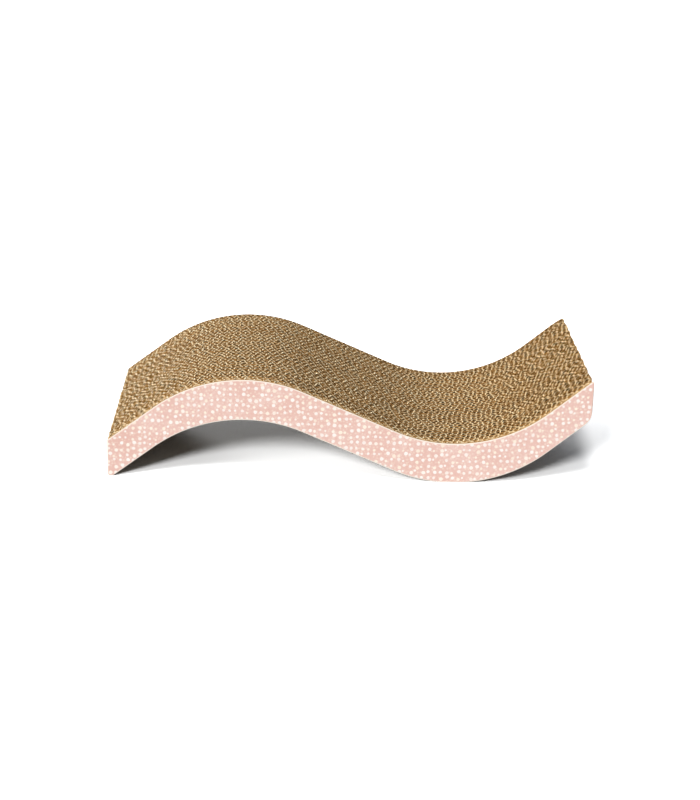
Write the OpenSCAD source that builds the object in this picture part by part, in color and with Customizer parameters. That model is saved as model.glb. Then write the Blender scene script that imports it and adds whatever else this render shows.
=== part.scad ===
// Wave-shaped cat scratcher: plies of corrugated board glued face to face between two printed covers.
// The plies stand on edge with their flutes upright, so the cut ends of the flutes are the surface
// that is scratched. X runs along the wave, Y across the plies, Z up; the origin is on the floor,
// midway along and midway across.

/* [Wave outline] */
// Length of the wave from the foot to the tail
length = 440; // [360:1:560]
// Height of the top of the crest
crest_h = 94.8; // [80:0.2:115]
// Height of the top corner at the raised tail
tail_h = 101.3; // [85:0.1:120]
// Upright depth of the board between its top and its underside
depth = 38; // [30:0.5:46]
// Where the crest lies along the length
crest_share = 0.283; // [0.25:0.001:0.32]
// Where the trough lies along the length
trough_share = 0.715; // [0.68:0.001:0.75]
// How much of the way from crest to trough is arc; 1 leaves no straight between them
arc_share = 0.785; // [0.6:0.005:0.95]

/* [Feet and corners] */
// How far the foot's sharp corner would reach below the floor before it is rounded
foot_drop = 3.6; // [1.5:0.1:6]
// Depth that the floor cuts off the rounded foot
foot_land = 0.3; // [0.1:0.05:0.6]
// Depth that the floor cuts off the underside of the trough
trough_land = 0.4; // [0.2:0.05:1]
// Radius of the blunt corner over the foot
shoulder_r = 3; // [0.5:0.1:8]
// Radius of the sharp corner at the tail's top
nose_r = 1.2; // [0.4:0.1:3]
// Radius of the blunt corner under the tail
heel_r = 16; // [4:0.5:24]

/* [Boards] */
// How many corrugated plies
ply_count = 41; // [20:1:56]
// Thickness of one corrugated ply
ply_t = 5; // [3:0.1:7]
// Thickness of each printed cover board
cover_t = 1.5; // [0.8:0.1:4]

/* [Corrugation] */
// Distance from one flute to the next
flute_pitch = 9.2; // [7:0.1:12]
// Thickness of a ply's two flat liners
liner_t = 0.5; // [0.3:0.05:0.8]
// Thickness of the fluted sheet between the liners
medium_t = 0.5; // [0.3:0.05:0.7]
// Board left whole at the two ends, where the cutting die crushes the flutes
crushed_end = 1.6; // [0.8:0.1:6]
// How far the flutes of one ply are shifted against those of the ply before it, in flutes
shift_share = 0.618; // [0:0.001:1]

/* [Hidden] */
$fn = 180;
kraft = "#C9A472";
print_pink = "#F4CFC6";

// Every node's name, front to rear
function ply_name(i) = str("ply_", i < 10 ? "0" : "", i);

// Across the block
core_w = ply_count * ply_t;

// Crest and trough of the top curve: [x, z] of each arc's end, its radius and its centre
crest_x = crest_share * length;
trough_x = trough_share * length;
trough_h = depth - trough_land;
fall_run = trough_x - crest_x;
fall = crest_h - trough_h;
arc_r = arc_share * (fall_run * fall_run + fall * fall) / (4 * fall);
crest_c = [crest_x, crest_h - arc_r];
trough_c = [trough_x, trough_h + arc_r];

// Slopes of the three straights: up from the foot, down between the arcs, up to the tail
foot_top = [0, depth - foot_drop];
tail_top = [length, tail_h];
to_crest = crest_c - foot_top;
to_trough = tail_top - trough_c;
between = trough_c - crest_c;
foot_slope = atan2(to_crest[1], to_crest[0]) + asin(arc_r / norm(to_crest));
tail_slope = asin(arc_r / norm(to_trough)) + atan2(to_trough[1], to_trough[0]);
fall_slope = acos(2 * arc_r / norm(between)) + atan2(between[1], between[0]) - 90;

// Points where the straights meet the arcs
function crest_at(a) = crest_c + arc_r * [-sin(a), cos(a)];
function trough_at(a) = trough_c + arc_r * [sin(a), -cos(a)];

// The foot's radius brings its lowest point to foot_land under the floor
foot_angle = 90 - foot_slope;
foot_r = (foot_drop - foot_land) / (1 / tan(foot_angle / 2) - 1);

// Plan of a flute: the space beside the slanting sheet is a triangle based on a liner
half_pitch = flute_pitch / 2;
wave_h = ply_t - 2 * liner_t;
rise = wave_h - 2 * medium_t;
lean = (half_pitch * rise - medium_t * sqrt(half_pitch * half_pitch + rise * rise - medium_t * medium_t))
  / (rise * rise - medium_t * medium_t);
flute_h = wave_h - medium_t;
flute_half_w = lean * flute_h;
flute_inset = crushed_end + flute_half_w;

// Everything below the top curve, drawn well past the ends and the floor
module below_top() {
  past = depth;
  difference() {
    union() {
      polygon([
        [-past, -length],
        [length + past, -length],
        tail_top + past * [1, tan(tail_slope)],
        trough_at(tail_slope),
        trough_at(fall_slope),
        crest_at(fall_slope),
        crest_at(foot_slope),
        foot_top - past * [1, tan(foot_slope)]
      ]);
      translate(crest_c) circle(r = arc_r);
    }
    translate(trough_c) circle(r = arc_r);
  }
}

// What rounding a corner takes away: corner at p, its two sides running off at angles a and b
// with b anticlockwise of a
module corner_waste(p, a, b, r) {
  half = (b - a) / 2;
  run = r / tan(half);
  mid = p + r / sin(half) * [cos(a + half), sin(a + half)];
  difference() {
    polygon([
      p - r * [cos(a + half), sin(a + half)],
      p + run * [cos(a), sin(a)],
      mid,
      p + run * [cos(b), sin(b)]
    ]);
    translate(mid) circle(r = r);
  }
}

// The wave as one sheet is cut: top curve, the same curve lower down, upright ends, flats to stand on
module wave_outline() {
  difference() {
    intersection() {
      difference() {
        below_top();
        translate([0, -depth]) below_top();
      }
      square([length, tail_h]);
    }
    corner_waste(foot_top - [0, depth], foot_slope, 90, foot_r);
    corner_waste(foot_top, -90, foot_slope, shoulder_r);
    corner_waste(tail_top, 180 + tail_slope, 270, nose_r);
    corner_waste(tail_top - [0, depth], 90, 180 + tail_slope, heel_r);
  }
}

// A sheet of the outline, standing on edge, its front face at y = 0
module sheet(thickness) {
  translate([0, thickness, 0]) rotate([90, 0, 0]) linear_extrude(height = thickness) wave_outline();
}

// Plan of one flute, based on the front liner
module flute_plan() {
  polygon([[-flute_half_w, liner_t], [flute_half_w, liner_t], [0, liner_t + flute_h]]);
}

// Plan of a whole ply: front and rear flutes take turns along the length, starting at a phase
module ply_plan(phase) {
  first = ceil(flute_inset / half_pitch - phase);
  last = floor((length - flute_inset) / half_pitch - phase);
  difference() {
    square([length, ply_t]);
    for (k = [first:last])
      translate([(k + phase) * half_pitch, 0])
        if (k % 2 == 0) flute_plan();
        else translate([0, ply_t]) mirror([0, 1]) flute_plan();
  }
}

// One corrugated ply; ply 1 is the front one
module ply(i) {
  phase = 2 * (i * shift_share - floor(i * shift_share));
  color(kraft)
    translate([-length / 2, (i - 1) * ply_t - core_w / 2, 0])
      intersection() {
        sheet(ply_t);
        linear_extrude(height = tail_h) ply_plan(phase);
      }
}

module front_cover() {
  color(print_pink) translate([-length / 2, -core_w / 2 - cover_t, 0]) sheet(cover_t);
}

module rear_cover() {
  color(print_pink) translate([-length / 2, core_w / 2, 0]) sheet(cover_t);
}

front_cover();
for (i = [1:ply_count])
  ply(i);
rear_cover();
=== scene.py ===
import math
import random

import bpy
import numpy as np
from mathutils import Matrix, Vector


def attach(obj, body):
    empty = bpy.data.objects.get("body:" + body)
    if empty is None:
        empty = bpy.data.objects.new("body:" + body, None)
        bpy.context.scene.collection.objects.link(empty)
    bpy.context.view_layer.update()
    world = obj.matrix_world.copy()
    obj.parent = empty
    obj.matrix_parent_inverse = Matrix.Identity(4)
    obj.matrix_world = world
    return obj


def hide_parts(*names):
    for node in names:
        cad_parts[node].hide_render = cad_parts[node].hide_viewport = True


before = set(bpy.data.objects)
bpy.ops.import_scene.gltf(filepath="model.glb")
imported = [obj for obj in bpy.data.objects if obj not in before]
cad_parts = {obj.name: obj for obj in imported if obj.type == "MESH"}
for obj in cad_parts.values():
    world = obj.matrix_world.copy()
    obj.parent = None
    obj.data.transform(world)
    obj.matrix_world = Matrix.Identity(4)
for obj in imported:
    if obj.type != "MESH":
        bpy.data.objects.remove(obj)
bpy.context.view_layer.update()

MM = 0.001

# Wave outline, as the boards are cut: x runs from the foot to the tail, z up from the floor
LENGTH = 440 * MM
CREST_H = 94.8 * MM
TAIL_H = 101.3 * MM
DEPTH = 38 * MM
CREST_X = 0.283 * LENGTH
TROUGH_X = 0.715 * LENGTH
ARC_SHARE = 0.785
FOOT_DROP = 3.6 * MM
FOOT_LAND = 0.3 * MM
TROUGH_LAND = 0.4 * MM
SHOULDER_R = 3 * MM
NOSE_R = 1.2 * MM
HEEL_R = 16 * MM

# Boards across the block
PLY_COUNT = 41
PLY_T = 5 * MM
COVER_T = 1.5 * MM
CORE_W = PLY_COUNT * PLY_T

# Corrugation: a coarse flute, its two liners and the fluted sheet between them
FLUTE_PITCH = 9.2 * MM
LINER_T = 0.45 * MM
MEDIUM_T = 0.45 * MM
FLUTE_STEPS = 14
STEEPNESS = 1.7
LINER_COLUMNS = 190

# Seeds: the boards' shifts, each board's own errors and the fraying of its rims
SHIFT_SEED = 11
BOARD_SEED = 100
FRAY_SEED = 500

# How far the flutes of one board are shifted against those of the board before it, in flutes, and how
# much the boards' pitches differ. Shares along the wave are counted from the foot.
SHIFT = 0.25
TURNED_SHIFT = 0.21
TURNED_SHARE = 0.36
SHIFT_ERROR = 0.11
PITCH_ERROR_SHARE = 0.0121
OWN_PITCH_ERROR = 0.4
BOARDS_PER_SHEET = 4.55
IN_STEP_SHARE = 0.45
FOOT_SHARE = 0.2
FOOT_ERROR_SHARE = 0.028

# Rows of points in from a sawn rim: where its fraying ends, and where the light from the ends does
FRAY_DEPTH = 1.6 * MM
INNER_ROW = 6 * MM

# How the saw leaves the boards: uneven cuts, crushed and frayed rims, a ragged tail
PLY_STEP = 0.2 * MM
FRAY = 0.33 * MM
FRAY_ALONG = 0.5
FRAY_ACROSS = 0.4
FRAY_T = 1.15 * MM
LINER_FRAY_T = 0.85 * MM
FOOT_RAG = 0.25 * MM
TAIL_RAG = 2.2 * MM
RAG_BACK, RAG_SWAY, RAG_ERROR = 0.35, 0.3, 0.35
SWAY_STEP = 1.3

# How claws leave them: they have worked most from TAIL_START on, and less on the slope to the foot
TAIL_START = 0.6
TAIL_RUN = 0.3
FOOT_RUN = 0.15
FOOT_CLAWED = 0.6
TAIL_WEAR = 3.6 * MM
WEAR_RUN = 3.5 * MM
TAIL_FRAY = 0.35
TAIL_PALE_LOSS = 0.6
# How much of the painted shade colour the rims get at the tail
TAIL_DARKENING = 0.042
SHREDS = 0.4

# Shade on the flutes' glued tips, which the saw crushes below their walls
SUNK = 0.13

# The boards beside the front cover are pressed flatter: values for the first ones and all others
# GLOOM is how much shade is painted inside a board's flutes; the flatter boards get less
GLOOM = (0.22, 0.5, 1.0)
GLUED_TIP = (0.4, 0.85)
LINER_PALE = (0.5, 0.25)

# Covers: their printed paper, the white margin that the die leaves and the eased edge
PRINTED_T = 0.5 * MM
MARGIN = 1.6 * MM
EASED = 0.3 * MM
EDGE_ANGLE = math.radians(60)
SMOOTH_ANGLE = math.radians(35)
OUTWARD = 0.9

# Paper sweep: its colour as it lights the object, and as the camera sees it near the object and far
# behind it, where it is painted brighter still. The camera's values are above 1, so that the unshadowed
# sweep is plain white.
SWEEP_BOUNCE = (0.18, 0.195, 0.215, 1)
SWEEP_NEAR = (1.82, 1.83, 1.83, 1)
SWEEP_FAR_PAINTED_BRIGHT = (2.5, 2.5, 2.5, 1)
SWEEP_FADE = (10 * MM, 140 * MM)
SWEEP_SIZE = 8

# The light that fills the shadows, and the lamps: bearing, elevation, strength and width, angles in
# degrees
FILL = 0.12
FILL_TINT = (0.92, 0.98, 1.08, 1)
LAMPS = {"front_light": (-112, 29, 2.15, 12), "top_light": (-104, 57, 1.15, 12),
         "low_light": (-146, 20, 1.0, 14), "back_light": (112, 10, 1.4, 14)}
LAMP_AWAY = 2

# The photograph's camera
FOCAL_PX = 1845.9
FRAME_PX = 800
SENSOR_W = 36
CLIP_END = 100
PITCH = math.radians(19.21)
YAW = math.radians(1.82)
ROLL = math.radians(1.79)
TARGET = Vector((222.8 * MM - LENGTH / 2, 0, 41.8 * MM))
DISTANCE = 1777.9 * MM


# The wave's outline

def wave_shape():
    """Radius and centres of the two equal arcs, and the slopes of the three straights."""
    trough_h = DEPTH - TROUGH_LAND
    run, fall = TROUGH_X - CREST_X, CREST_H - trough_h
    r = ARC_SHARE * (run ** 2 + fall ** 2) / (4 * fall)
    crest = np.array([CREST_X, CREST_H - r])
    trough = np.array([TROUGH_X, trough_h + r])
    up = crest - [0, DEPTH - FOOT_DROP]
    away = np.array([LENGTH, TAIL_H]) - trough
    between = trough - crest
    foot = math.atan2(up[1], up[0]) + math.asin(r / np.hypot(*up))
    tail = math.asin(r / np.hypot(*away)) + math.atan2(away[1], away[0])
    down = math.acos(2 * r / np.hypot(*between)) + math.atan2(between[1], between[0]) - math.pi / 2
    return r, crest, trough, foot, down, tail


ARC_R, CREST_C, TROUGH_C, FOOT_SLOPE, FALL_SLOPE, TAIL_SLOPE = wave_shape()


def top_curve(x):
    """Height of the wave's top at x, before its corners are rounded."""
    crest_in = CREST_C[0] - ARC_R * math.sin(FOOT_SLOPE)
    crest_out = CREST_C[0] - ARC_R * math.sin(FALL_SLOPE)
    trough_in = TROUGH_C[0] + ARC_R * math.sin(FALL_SLOPE)
    trough_out = TROUGH_C[0] + ARC_R * math.sin(TAIL_SLOPE)
    crest = CREST_C[1] + np.sqrt(np.maximum(ARC_R ** 2 - (x - CREST_C[0]) ** 2, 0))
    trough = TROUGH_C[1] - np.sqrt(np.maximum(ARC_R ** 2 - (x - TROUGH_C[0]) ** 2, 0))
    down = CREST_C[1] + ARC_R * math.cos(FALL_SLOPE) + (x - crest_out) * math.tan(FALL_SLOPE)
    z = np.where(x < crest_in, DEPTH - FOOT_DROP + x * math.tan(FOOT_SLOPE), crest)
    z = np.where(x > crest_out, down, z)
    z = np.where(x > trough_in, trough, z)
    return np.where(x > trough_out, TAIL_H + (x - LENGTH) * math.tan(TAIL_SLOPE), z)


def rounded(x, z, end, slope, radius, above):
    """Rounds the corner between an upright end and the line that leaves it at a slope."""
    inward = 1 if end == 0 else -1
    lean = math.pi / 2 - slope * inward * (1 if above else -1)
    half = (math.pi - lean) / 2
    corner = (DEPTH - FOOT_DROP if end == 0 else TAIL_H) - (0 if above else DEPTH)
    run = radius / math.tan(half)
    side = -1 if above else 1
    mid_z = corner + side * run
    mid_x = end + inward * radius
    touch = end + inward * run * math.cos(slope)
    arc = mid_z - side * np.sqrt(np.maximum(radius ** 2 - (x - mid_x) ** 2, 0))
    return np.where((x - touch) * inward < 0, arc, z)


def top_edge(x):
    """Top of a board, corners rounded."""
    z = top_curve(x)
    z = rounded(x, z, 0, FOOT_SLOPE, SHOULDER_R, True)
    return rounded(x, z, LENGTH, TAIL_SLOPE, NOSE_R, True)


def under_edge(x):
    """Underside of a board, corners rounded and cut flat where it stands on the floor."""
    z = top_curve(x) - DEPTH
    foot_angle = math.pi / 2 - FOOT_SLOPE
    foot_r = (FOOT_DROP - FOOT_LAND) / (1 / math.tan(foot_angle / 2) - 1)
    z = rounded(x, z, 0, FOOT_SLOPE, foot_r, False)
    z = rounded(x, z, LENGTH, TAIL_SLOPE, HEEL_R, False)
    return np.maximum(z, 0)


# Materials

def colour(code):
    """Linear RGBA of an sRGB hex colour."""
    parts = [int(code[i:i + 2], 16) / 255 for i in (1, 3, 5)]
    return (*[p / 12.92 if p <= 0.04045 else ((p + 0.055) / 1.055) ** 2.4 for p in parts], 1.0)


def node(tree, kind, inputs=(), **settings):
    """Adds a node. inputs maps a socket's name or number to a value or to another node's output."""
    made = tree.nodes.new(kind)
    for name, value in settings.items():
        setattr(made, name, value)
    for key, value in dict(inputs).items():
        if isinstance(value, bpy.types.NodeSocket):
            tree.links.new(value, made.inputs[key])
        else:
            made.inputs[key].default_value = value
    return made


def blank_material(name):
    """A material with its shader and output joined; returns the material, its tree and the shader."""
    mat = bpy.data.materials.new(name)
    mat.use_nodes = True
    tree = mat.node_tree
    tree.nodes.clear()
    shader = node(tree, "ShaderNodeBsdfPrincipled")
    node(tree, "ShaderNodeOutputMaterial", {"Surface": shader.outputs[0]})
    return mat, tree, shader


def blend(tree, share, first, second):
    """Mixes two colours by a share."""
    return node(tree, "ShaderNodeMix", {0: share, 6: first, 7: second}, data_type="RGBA").outputs[2]


def spread(tree, value, low, high, to_low=0.0, to_high=1.0, smooth=False):
    """Maps a value's range onto another, clamped."""
    return node(tree, "ShaderNodeMapRange", {0: value, 1: low, 2: high, 3: to_low, 4: to_high},
                clamp=True, interpolation_type="SMOOTHSTEP" if smooth else "LINEAR").outputs[0]


def kraft_paper(name, pale, mid, dark, cut, shade):
    """Unbleached kraft, sawn: brown fibres lying along the flutes, dark flecks, a paler, fuzzy cut edge
    and brown shade painted down inside the flutes."""
    mat, tree, shader = blank_material(name)
    place = node(tree, "ShaderNodeTexCoord").outputs["Object"]
    # One tone per board: the noise changes every board across and hardly at all along it
    board = node(tree, "ShaderNodeMapping", {0: place, 3: (2, 1 / PLY_T, 2)}).outputs[0]
    tone = node(tree, "ShaderNodeTexNoise", {"Vector": board, "Scale": 1.7, "Detail": 1}).outputs[0]
    # Fibres about 4 mm long and 0.6 mm across, drawn coarser than real ones so that they show
    along = node(tree, "ShaderNodeMapping", {0: place, 3: (1, 1, 0.15)}).outputs[0]
    fibre = node(tree, "ShaderNodeTexNoise", {"Vector": along, "Scale": 1 / (0.6 * MM), "Detail": 4,
                                             "Roughness": 0.65}).outputs[0]
    # Flecks of darker pulp, one or so every 4 mm
    fleck = node(tree, "ShaderNodeTexNoise", {"Vector": place, "Scale": 1 / (1.8 * MM),
                                             "Detail": 3}).outputs[0]
    # The sawn edge is pale in tufts, a stroke here and there staying dull
    cut_share = node(tree, "ShaderNodeAttribute", attribute_name="cut").outputs["Fac"]
    tuft = node(tree, "ShaderNodeTexNoise", {"Vector": place, "Scale": 1 / (1.6 * MM), "Detail": 4,
                                            "Roughness": 0.8}).outputs[0]
    edge = node(tree, "ShaderNodeMath", {0: cut_share, 1: spread(tree, tuft, 0.4, 0.6, 0.15, 1.0)},
                operation="MULTIPLY").outputs[0]
    # Painted shade: the shade colour laid in the flutes below the rims, on the crushed tips and a little
    # on the rims towards the tail
    gloom = node(tree, "ShaderNodeAttribute", attribute_name="depth").outputs["Fac"]
    base = blend(tree, spread(tree, tone, 0.35, 0.65), colour(dark), colour(mid))
    base = blend(tree, spread(tree, fibre, 0.35, 0.7), base, colour(pale))
    base = blend(tree, spread(tree, fleck, 0.6, 0.72, 0, 0.45), base, colour(dark))
    base = blend(tree, spread(tree, edge, 0.05, 0.9, 0, 0.95), base, colour(cut))
    base = blend(tree, spread(tree, gloom, 0.03, 0.28, 0, 0.95), base, colour(shade))
    tree.links.new(base, shader.inputs["Base Color"])
    shader.inputs["Roughness"].default_value = 0.92
    shader.inputs["Specular IOR Level"].default_value = 0.03
    bump = node(tree, "ShaderNodeBump", {"Height": fibre, "Strength": 0.35, "Distance": 0.15 * MM})
    tree.links.new(bump.outputs[0], shader.inputs["Normal"])
    return mat


def dot_layer(tree, place, spacing, small, large, randomness):
    """Round dots, one to a cell, their radii between small and large and each inked a little more or
    less fully. Returns their coverage and a random value for each."""
    cells = node(tree, "ShaderNodeTexVoronoi", {"Vector": place, "Scale": 1 / spacing,
                                               "Randomness": randomness},
                 voronoi_dimensions="2D", feature="F1")
    pick = node(tree, "ShaderNodeSeparateColor", {0: cells.outputs["Color"]})
    radius = spread(tree, pick.outputs[0], 0, 1, small / spacing, large / spacing)
    gap = node(tree, "ShaderNodeMath", {0: cells.outputs["Distance"], 1: radius}, operation="SUBTRACT")
    soft = 0.4 * MM / spacing
    inked = spread(tree, pick.outputs[2], 0, 1, 0.72, 1.0)
    inside = spread(tree, gap.outputs[0], -soft, soft, 1, 0, smooth=True)
    coverage = node(tree, "ShaderNodeMath", {0: inside, 1: inked}, operation="MULTIPLY").outputs[0]
    return coverage, pick.outputs[1]


def dotted_print(name, base_hex, deep_hex, dot_hex, warm_hex, margin_hex, end_shade_hex):
    """Matt print on coated paper: pale ground with a random scatter of light dots, large and small."""
    mat, tree, shader = blank_material(name)
    place = node(tree, "ShaderNodeTexCoord").outputs["Object"]
    # The pattern lies on the upright faces, so x and z become its two directions; the outlines of its
    # dots waver a little, as hand-drawn ones do
    flat = node(tree, "ShaderNodeMapping", {0: place, 2: (math.pi / 2, 0, 0)}).outputs[0]
    wobble = node(tree, "ShaderNodeTexNoise", {"Vector": flat, "Scale": 1 / (3 * MM), "Detail": 1})
    offset = node(tree, "ShaderNodeVectorMath", {0: wobble.outputs["Color"], 1: (0.5, 0.5, 0.5)},
                  operation="SUBTRACT").outputs[0]
    shift = node(tree, "ShaderNodeVectorMath", {0: offset, "Scale": 0.8 * MM},
                 operation="SCALE").outputs[0]
    drawn = node(tree, "ShaderNodeVectorMath", {0: flat, 1: shift}).outputs[0]
    dots, warm = dot_layer(tree, drawn, spacing=5.5 * MM, small=0.95 * MM, large=1.8 * MM,
                           randomness=0.55)
    # Smaller, fainter dots fill the gaps between the large ones
    faint = dot_layer(tree, drawn, spacing=3.4 * MM, small=0.5 * MM, large=1.0 * MM, randomness=0.8)[0]
    faint = spread(tree, faint, 0, 1, 0, 0.42)
    # The ground is printed slightly unevenly, in patches of a few centimetres and a fine screen
    patch = node(tree, "ShaderNodeTexNoise", {"Vector": flat, "Scale": 1 / (28 * MM),
                                             "Detail": 3}).outputs[0]
    grain = node(tree, "ShaderNodeTexNoise", {"Vector": flat, "Scale": 1 / (2.2 * MM),
                                             "Detail": 3}).outputs[0]
    ground = blend(tree, spread(tree, patch, 0.3, 0.7), colour(base_hex), colour(deep_hex))
    ground = blend(tree, spread(tree, grain, 0.42, 0.66, 0, 0.8), ground, colour(deep_hex))
    ink = blend(tree, spread(tree, warm, 0.55, 0.9), colour(dot_hex), colour(warm_hex))
    # White paper shows where the die has turned the cut edges over, and a grey-brown painted shade lies
    # along the tail's upright end, where its rounded edge turns away from the light
    margin = node(tree, "ShaderNodeAttribute", attribute_name="cut").outputs["Fac"]
    end_shade = node(tree, "ShaderNodeAttribute", attribute_name="end").outputs["Fac"]
    base = blend(tree, faint, ground, colour(warm_hex))
    base = blend(tree, dots, base, ink)
    base = blend(tree, spread(tree, margin, 0.2, 0.6, 0, 0.9), base, colour(margin_hex))
    base = blend(tree, spread(tree, end_shade, 0.45, 0.8, 0, 0.6), base, colour(end_shade_hex))
    tree.links.new(base, shader.inputs["Base Color"])
    shader.inputs["Roughness"].default_value = 0.55
    shader.inputs["Specular IOR Level"].default_value = 0.35
    bump = node(tree, "ShaderNodeBump", {"Height": grain, "Strength": 0.12, "Distance": 0.05 * MM})
    tree.links.new(bump.outputs[0], shader.inputs["Normal"])
    return mat


def board_edge(name, pale, core, dark):
    """Cut edge of lined board: printed paper outside, pulp in layers behind it, with a few scuffs."""
    mat, tree, shader = blank_material(name)
    place = node(tree, "ShaderNodeTexCoord").outputs["Object"]
    across = node(tree, "ShaderNodeSeparateXYZ", {0: place}).outputs["Y"]
    across = node(tree, "ShaderNodeMath", {0: across}, operation="ABSOLUTE").outputs[0]
    outer = CORE_W / 2 + COVER_T - PRINTED_T
    paper = spread(tree, across, outer - 0.1 * MM, outer + 0.1 * MM)
    layers = node(tree, "ShaderNodeMapping", {0: place, 3: (0.2, 6, 0.2)}).outputs[0]
    layer = node(tree, "ShaderNodeTexNoise", {"Vector": layers, "Scale": 1 / (1.2 * MM),
                                             "Detail": 3}).outputs[0]
    scuff = node(tree, "ShaderNodeTexNoise", {"Vector": place, "Scale": 1 / (5 * MM),
                                             "Detail": 4}).outputs[0]
    pulp = blend(tree, spread(tree, layer, 0.35, 0.7, 0, 0.6), colour(core), colour(dark))
    pulp = blend(tree, spread(tree, scuff, 0.55, 0.75, 0, 0.5), pulp, colour(dark))
    tree.links.new(blend(tree, paper, pulp, colour(pale)), shader.inputs["Base Color"])
    shader.inputs["Roughness"].default_value = 0.9
    shader.inputs["Specular IOR Level"].default_value = 0.2
    bump = node(tree, "ShaderNodeBump", {"Height": layer, "Strength": 0.3, "Distance": 0.1 * MM})
    tree.links.new(bump.outputs[0], shader.inputs["Normal"])
    return mat


# Boards

def deselect():
    """Leaves nothing selected, in object mode."""
    if bpy.context.object and bpy.context.object.mode != "OBJECT":
        bpy.ops.object.mode_set(mode="OBJECT")
    bpy.ops.object.select_all(action="DESELECT")


def only(obj):
    """Leaves one object selected and active."""
    deselect()
    obj.select_set(True)
    bpy.context.view_layer.objects.active = obj


def finish_modifier(obj, kind, **settings):
    """Adds a modifier and applies it."""
    only(obj)
    made = obj.modifiers.new(kind.lower(), kind)
    for name, value in settings.items():
        setattr(made, name, value)
    bpy.ops.object.modifier_apply(modifier=made.name)


def read_points(mesh):
    """The mesh's points, one to a row."""
    flat = np.empty(len(mesh.vertices) * 3)
    mesh.vertices.foreach_get("co", flat)
    return flat.reshape(-1, 3)


def write_points(mesh, points):
    """Moves the mesh's points to those given."""
    mesh.vertices.foreach_set("co", np.ascontiguousarray(points, dtype=np.float32).ravel())
    mesh.update()


def tail_wear(x, share):
    """How far the tail's sharp upper corner is worn down; it is worn most at the rear."""
    return TAIL_WEAR * share * np.exp((x - LENGTH) / WEAR_RUN)


def tail_share(x):
    """How much claws have worked at x on the way to the tail: 0 to 1."""
    return np.clip(x / LENGTH - TAIL_START, 0, TAIL_RUN) / TAIL_RUN


def foot_share(x):
    """How much claws have worked at x on the way to the foot: 0 to FOOT_CLAWED."""
    return np.clip(FOOT_SHARE - x / LENGTH, 0, FOOT_RUN) / (FOOT_RUN / FOOT_CLAWED)


def standing_sheet(name, xs, path, heights, thickness, fray=None, rim_t=None, pale=None, gloom=1.0,
                   wear=0.0, sunk=None, margin=0.0):
    """A sheet on edge: columns at xs, following y = path(x), from the underside of the wave to its top.

    heights places each row, by its share of the way up and a step from there. The top and bottom rows
    are the sawn rims: fray(x) moves their points, rim_t is the thickness to which the saw has crushed
    them, pale(x, y) how pale and fuzzy they are and sunk(x, y) how much painted shade they get. gloom is
    how much painted shade darkens the sheet between them, wear how worn its upper tail corner is, and
    margin the width of the pale edge at the foot's end.
    """
    deselect()
    bpy.ops.mesh.primitive_grid_add(x_subdivisions=len(xs) - 1, y_subdivisions=len(heights) - 1, size=1)
    obj = bpy.context.object
    obj.name = obj.data.name = name
    grid = read_points(obj.data)
    col = np.rint((grid[:, 0] + 0.5) * (len(xs) - 1)).astype(int)
    row = np.rint((grid[:, 1] + 0.5) * (len(heights) - 1)).astype(int)
    rim = (row == 0) | (row == len(heights) - 1)
    x = np.asarray(xs)[col]
    y = path(x)
    low, high = under_edge(x), top_edge(x) - tail_wear(x, wear)
    share, step = np.array(heights)[row].T
    z = low + share * (high - low) + step
    end_gap = np.minimum(x - xs[0], xs[-1] - x)
    # Shade is painted inside the flutes. It fades out towards the sawn rims and the upright ends, where
    # light comes in, and is weaker where torn shreds lie in the flutes where claws have worked. The rims
    # get the painted shade of the crushed tips.
    open_share = 1.0 - SHREDS * np.maximum(tail_share(x), foot_share(x))
    inward = np.clip(end_gap / np.maximum(np.abs(step), MM), 0, 1)
    pale_end = np.clip(1 - (x - xs[0]) / margin, 0, 1) if margin else 0
    marks = {"depth": gloom * open_share * (1.0 - rim) * inward + rim * (sunk(x, y) if sunk else 0),
             "cut": np.maximum(rim * (pale(x, y) if pale else 1.0), pale_end),
             # The print gets a painted shade along the tail's upright end
             "end": np.clip(1 - (xs[-1] - x) / MARGIN, 0, 1)}
    if fray is not None:
        dx, dy, dz = fray(x)
        x = x + rim * dx
        y = y + rim * dy
        z = z + rim * dz
    write_points(obj.data, np.column_stack([x - LENGTH / 2, y, z]))
    marks["proud"] = np.where(row == 0, z - under_edge(x), z - top_edge(x))
    marks["side"] = (row > 0) * 1.0 + (row == len(heights) - 1)
    for mark, value in marks.items():
        made = obj.data.attributes.new(mark, "FLOAT", "POINT")
        made.data.foreach_set("value", value.astype(np.float32))
    rim_t = rim_t or thickness
    thick = obj.vertex_groups.new(name="rim")
    for k in np.flatnonzero(rim):
        thick.add([int(k)], 1.0, "REPLACE")
    finish_modifier(obj, "SOLIDIFY", thickness=rim_t, offset=0, use_even_offset=True,
                    vertex_group="rim", thickness_vertex_group=thickness / rim_t)
    obj.vertex_groups.clear()
    saw_flush(obj.data)
    return obj


def saw_flush(mesh):
    """Brings both faces' rims back to the cut, so that they slope with it across their thickness too."""
    points = read_points(mesh)
    side, proud = np.empty(len(points)), np.empty(len(points))
    mesh.attributes["side"].data.foreach_get("value", side)
    mesh.attributes["proud"].data.foreach_get("value", proud)
    x = np.clip(points[:, 0] + LENGTH / 2, 0, LENGTH)
    cut = np.where(side < 0.5, under_edge(x), top_edge(x)) + proud
    points[:, 2] = np.maximum(np.where(np.abs(side - 1) > 0.5, cut, points[:, 2]), 0)
    write_points(mesh, points)
    for mark in ("side", "proud"):
        mesh.attributes.remove(mesh.attributes[mark])


def ply_phases():
    """Where each board's flutes start, in flutes: about a quarter of a flute back from the board before
    it, or forward, where a board was turned round before gluing."""
    chance = random.Random(SHIFT_SEED)
    phases = [0.0]
    turned = False
    while len(phases) < PLY_COUNT:
        turned = not turned and chance.random() < TURNED_SHARE
        step = TURNED_SHIFT if turned else -SHIFT
        phases.append(phases[-1] + step + chance.uniform(-SHIFT_ERROR, SHIFT_ERROR))
    return phases


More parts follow.
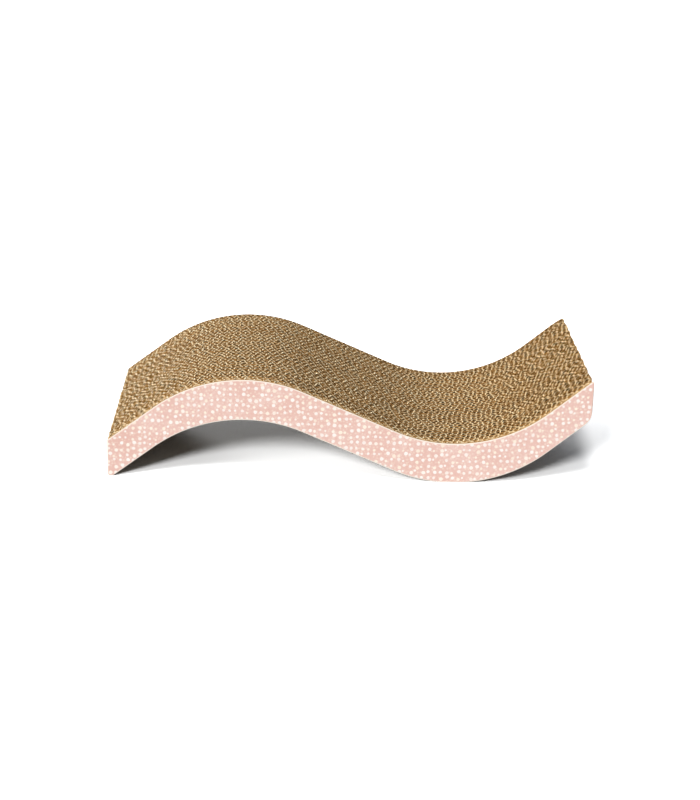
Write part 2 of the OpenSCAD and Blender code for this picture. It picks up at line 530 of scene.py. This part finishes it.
def corrugated_ply(index, phase, liner, medium):
    """One board of coarse corrugated: two flat liners and the fluted sheet glued between them."""
    chance = random.Random(BOARD_SEED + index)
    noise = np.random.RandomState(FRAY_SEED + index)
    front = (index - 1) * PLY_T - CORE_W / 2
    middle = front + PLY_T / 2
    swing = PLY_T / 2 - LINER_T - MEDIUM_T / 2
    start = chance.uniform(0, FOOT_RAG)
    # The tail's end wanders in and out over about five boards, and each board has an error of its own
    rag = RAG_BACK + RAG_SWAY * math.sin(SWAY_STEP * index) + chance.uniform(0, RAG_ERROR)
    end = LENGTH - rag * TAIL_RAG
    lift = chance.uniform(-PLY_STEP, PLY_STEP)
    # From IN_STEP_SHARE on, the pitch creeps down from board to board, until a new sheet of board
    # starts it again
    creep = PITCH_ERROR_SHARE * (1 - 2 * (index / BOARDS_PER_SHEET % 1))
    pitch = FLUTE_PITCH * (1 + PITCH_ERROR_SHARE * chance.uniform(-OWN_PITCH_ERROR, OWN_PITCH_ERROR))
    # The boards' flutes run out of step with each other on the way up from the foot
    stray = chance.uniform(-FOOT_ERROR_SHARE, FOOT_ERROR_SHARE)
    heights = [(0, -lift), (0, FRAY_DEPTH), (0, INNER_ROW), (1, -INNER_ROW), (1, -FRAY_DEPTH), (1, lift)]
    gloom = GLOOM[min(index, len(GLOOM)) - 1]
    glued_tip = GLUED_TIP[min(index, len(GLUED_TIP)) - 1]
    liner_pale = LINER_PALE[min(index, len(LINER_PALE)) - 1]

    def frayed(size):
        """How far the points of a rim are pushed along, across and up."""
        def moves(x):
            n = len(x)
            rough = size * (1 + TAIL_FRAY * tail_share(x))
            return (noise.normal(0, FRAY_ALONG, n) * size, noise.normal(0, FRAY_ACROSS, n) * rough,
                    noise.normal(0, 1, n) * rough)
        return moves

    def flute(x):
        """The fluted sheet's path across the board, a sine wave with its tips flattened."""
        run = x - IN_STEP_SHARE * LENGTH
        run = run - creep * np.maximum(run, 0) + stray * np.maximum(FOOT_SHARE * LENGTH - x, 0)
        wave = STEEPNESS * np.sin(2 * np.pi * (run / pitch - phase))
        return middle + swing * np.tanh(wave) / math.tanh(STEEPNESS)

    def free_wall(x, y):
        """The flutes' tips are glued to the liners and stay hard; the walls between them fray."""
        glued = glued_tip * np.clip(np.abs(y - middle) / swing, 0, 1) ** 2
        return (1 - glued) * (1 - TAIL_PALE_LOSS * tail_share(x))

    def darker_to_tail(x, y):
        """The rims get a little of the painted shade colour towards the tail, so they are darker there.
        """
        return TAIL_DARKENING * tail_share(x)

    def sunk_tip(x, y):
        """The glued tips are crushed below the walls, so they lie in some shade."""
        return darker_to_tail(x, y) + SUNK * gloom * np.clip(np.abs(y - middle) / swing, 0, 1) ** 3

    def glued_edge(x, y):
        """The liners' edges are held by glue on both sides and hardly fray."""
        return np.full_like(x, liner_pale)

    name = "ply_%02d" % index
    columns = int((end - start) / pitch * FLUTE_STEPS)
    sheets = [standing_sheet(name + "_flutes", np.linspace(start, end, columns), flute, heights, MEDIUM_T,
                             frayed(FRAY), FRAY_T, free_wall, gloom, index / PLY_COUNT, sunk_tip)]
    along = np.linspace(start, end, LINER_COLUMNS)
    for y in (front + LINER_T / 2, front + PLY_T - LINER_T / 2):
        sheets.append(standing_sheet(name + "_liner", along, lambda x, y=y: np.full_like(x, y), heights,
                                     LINER_T, frayed(FRAY / 2), LINER_FRAY_T, glued_edge, gloom,
                                     index / PLY_COUNT, darker_to_tail))
    for sheet, paper in zip(sheets, (medium, liner, liner)):
        sheet.data.materials.append(paper)
    deselect()
    for sheet in sheets:
        sheet.select_set(True)
    bpy.context.view_layer.objects.active = sheets[0]
    bpy.ops.object.join()
    board = bpy.context.object
    board.name = board.data.name = name + "_corrugated"
    bpy.ops.object.shade_smooth_by_angle(angle=SMOOTH_ANGLE)
    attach(board, "root")
    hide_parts(name)


def printed_cover(name, side, print_face, edge):
    """A cover of white-lined board, printed on its outer face, its cut edges eased by the die."""
    middle = side * (CORE_W / 2 + COVER_T / 2)
    # Columns stand closer at the rounded corners of the foot and the tail
    stops = (0, 6 * MM, LENGTH - 18 * MM, LENGTH - 2 * MM, LENGTH)
    runs = zip(stops, stops[1:], (12, 209, 16, 8))
    xs = np.append(np.concatenate([np.linspace(low, high, n + 1)[:-1] for low, high, n in runs]), LENGTH)
    heights = [(0, 0), (0, MARGIN), (0.5, 0), (1, -MARGIN), (1, 0)]
    board = standing_sheet(name + "_board", xs, lambda x: np.full_like(x, middle), heights, COVER_T,
                           wear=max(side, 0), margin=MARGIN)
    finish_modifier(board, "BEVEL", width=EASED, segments=3, limit_method="ANGLE", angle_limit=EDGE_ANGLE)
    board.data.materials.append(edge)
    board.data.materials.append(print_face)
    for face in board.data.polygons:
        if face.normal.y * side > OUTWARD:
            face.material_index = 1
    only(board)
    bpy.ops.object.shade_smooth_by_angle(angle=SMOOTH_ANGLE)
    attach(board, "root")
    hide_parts(name)


# Floor, light and camera

def paper_sweep():
    """The white floor: it keeps the object's shadow and is plain white outside it."""
    bpy.ops.mesh.primitive_plane_add(size=SWEEP_SIZE, location=(0, 0, 0))
    floor = bpy.context.object
    floor.name = "studio_floor"
    mat = bpy.data.materials.new("white_paper_sweep")
    mat.use_nodes = True
    tree = mat.node_tree
    tree.nodes.clear()
    seen = node(tree, "ShaderNodeLightPath").outputs["Is Camera Ray"]
    # It is painted brighter towards the back, as if lit from behind, so the shadow there fades out
    place = node(tree, "ShaderNodeTexCoord").outputs["Object"]
    away = node(tree, "ShaderNodeSeparateXYZ", {0: place}).outputs["Y"]
    white = blend(tree, spread(tree, away, *SWEEP_FADE, smooth=True), SWEEP_NEAR, SWEEP_FAR_PAINTED_BRIGHT)
    tone = blend(tree, seen, SWEEP_BOUNCE, white)
    paper = node(tree, "ShaderNodeBsdfDiffuse", {"Color": tone})
    node(tree, "ShaderNodeOutputMaterial", {"Surface": paper.outputs[0]})
    floor.data.materials.append(mat)


def fill_light():
    """The world: white to the camera, a little cool as the light that fills the shadows."""
    world = bpy.data.worlds.new("studio_world")
    bpy.context.scene.world = world
    world.use_nodes = True
    tree = world.node_tree
    tree.nodes.clear()
    seen = node(tree, "ShaderNodeLightPath").outputs["Is Camera Ray"]
    strength = spread(tree, seen, 0, 1, FILL, 1.0)
    tint = blend(tree, seen, FILL_TINT, (1, 1, 1, 1))
    back = node(tree, "ShaderNodeBackground", {"Color": tint, "Strength": strength})
    node(tree, "ShaderNodeOutputWorld", {"Surface": back.outputs[0]})


def soft_light(name, bearing, elevation, strength, width):
    """A distant light in the given direction, all angles in degrees; its width softens the shadow."""
    level = math.cos(math.radians(elevation))
    towards = Vector((level * math.cos(math.radians(bearing)), level * math.sin(math.radians(bearing)),
                      math.sin(math.radians(elevation))))
    data = bpy.data.lights.new(name, "SUN")
    data.energy = strength
    data.angle = math.radians(width)
    lamp = bpy.data.objects.new(name, data)
    bpy.context.collection.objects.link(lamp)
    lamp.location = towards * LAMP_AWAY
    lamp.rotation_euler = towards.to_track_quat("Z", "Y").to_euler()


def photo_camera():
    """The camera that took the photograph, found from the wave's outlines in it."""
    ahead = Vector((math.sin(YAW) * math.cos(PITCH), math.cos(YAW) * math.cos(PITCH), -math.sin(PITCH)))
    level = Vector((math.cos(YAW), -math.sin(YAW), 0))
    upright = level.cross(ahead)
    right = level * math.cos(ROLL) + upright * math.sin(ROLL)
    up = upright * math.cos(ROLL) - level * math.sin(ROLL)
    data = bpy.data.cameras.new("photo_camera")
    data.sensor_width = SENSOR_W
    data.lens = FOCAL_PX * SENSOR_W / FRAME_PX
    data.clip_end = CLIP_END
    camera = bpy.data.objects.new("photo_camera", data)
    bpy.context.collection.objects.link(camera)
    camera.matrix_world = Matrix.Translation(TARGET - ahead * DISTANCE) @ Matrix(
        (right, up, -ahead)).transposed().to_4x4()
    bpy.context.scene.camera = camera


def main():
    # The liners stay brown; the sawn edge of the fluted sheet between them is the palest thing on top
    liner = kraft_paper("kraft_linerboard", "#C59358", "#A97D43", "#80582A", "#D4A86B", "#1B0D02")
    medium = kraft_paper("kraft_fluting_paper", "#FFE3AF", "#F8D29A", "#CA9B60", "#FFF5D6", "#1B0D02")
    # The print's last colour is the painted shade along the tail's upright end
    print_face = dotted_print("matt_dotted_print", "#F0CEC2", "#E8BDAF", "#FFF8F0", "#FFF0DC",
                              "#F8EADB", "#A08A7C")
    edge = board_edge("lined_board_edge", "#FFF4E6", "#CFAF80", "#A98557")
    # The rear cover's cut edge is painted darker brown, a painted shade line along the far edge
    shaded_rear_edge = board_edge("board_edge_painted_shade", "#A08460", "#6C4E2E", "#3E2915")
    for index, phase in enumerate(ply_phases(), 1):
        corrugated_ply(index, phase, liner, medium)
    printed_cover("front_cover", -1, print_face, edge)
    printed_cover("rear_cover", 1, print_face, shaded_rear_edge)
    paper_sweep()
    fill_light()
    for name, setting in LAMPS.items():
        soft_light(name, *setting)
    photo_camera()
    bpy.context.scene.view_settings.view_transform = "Standard"


main()
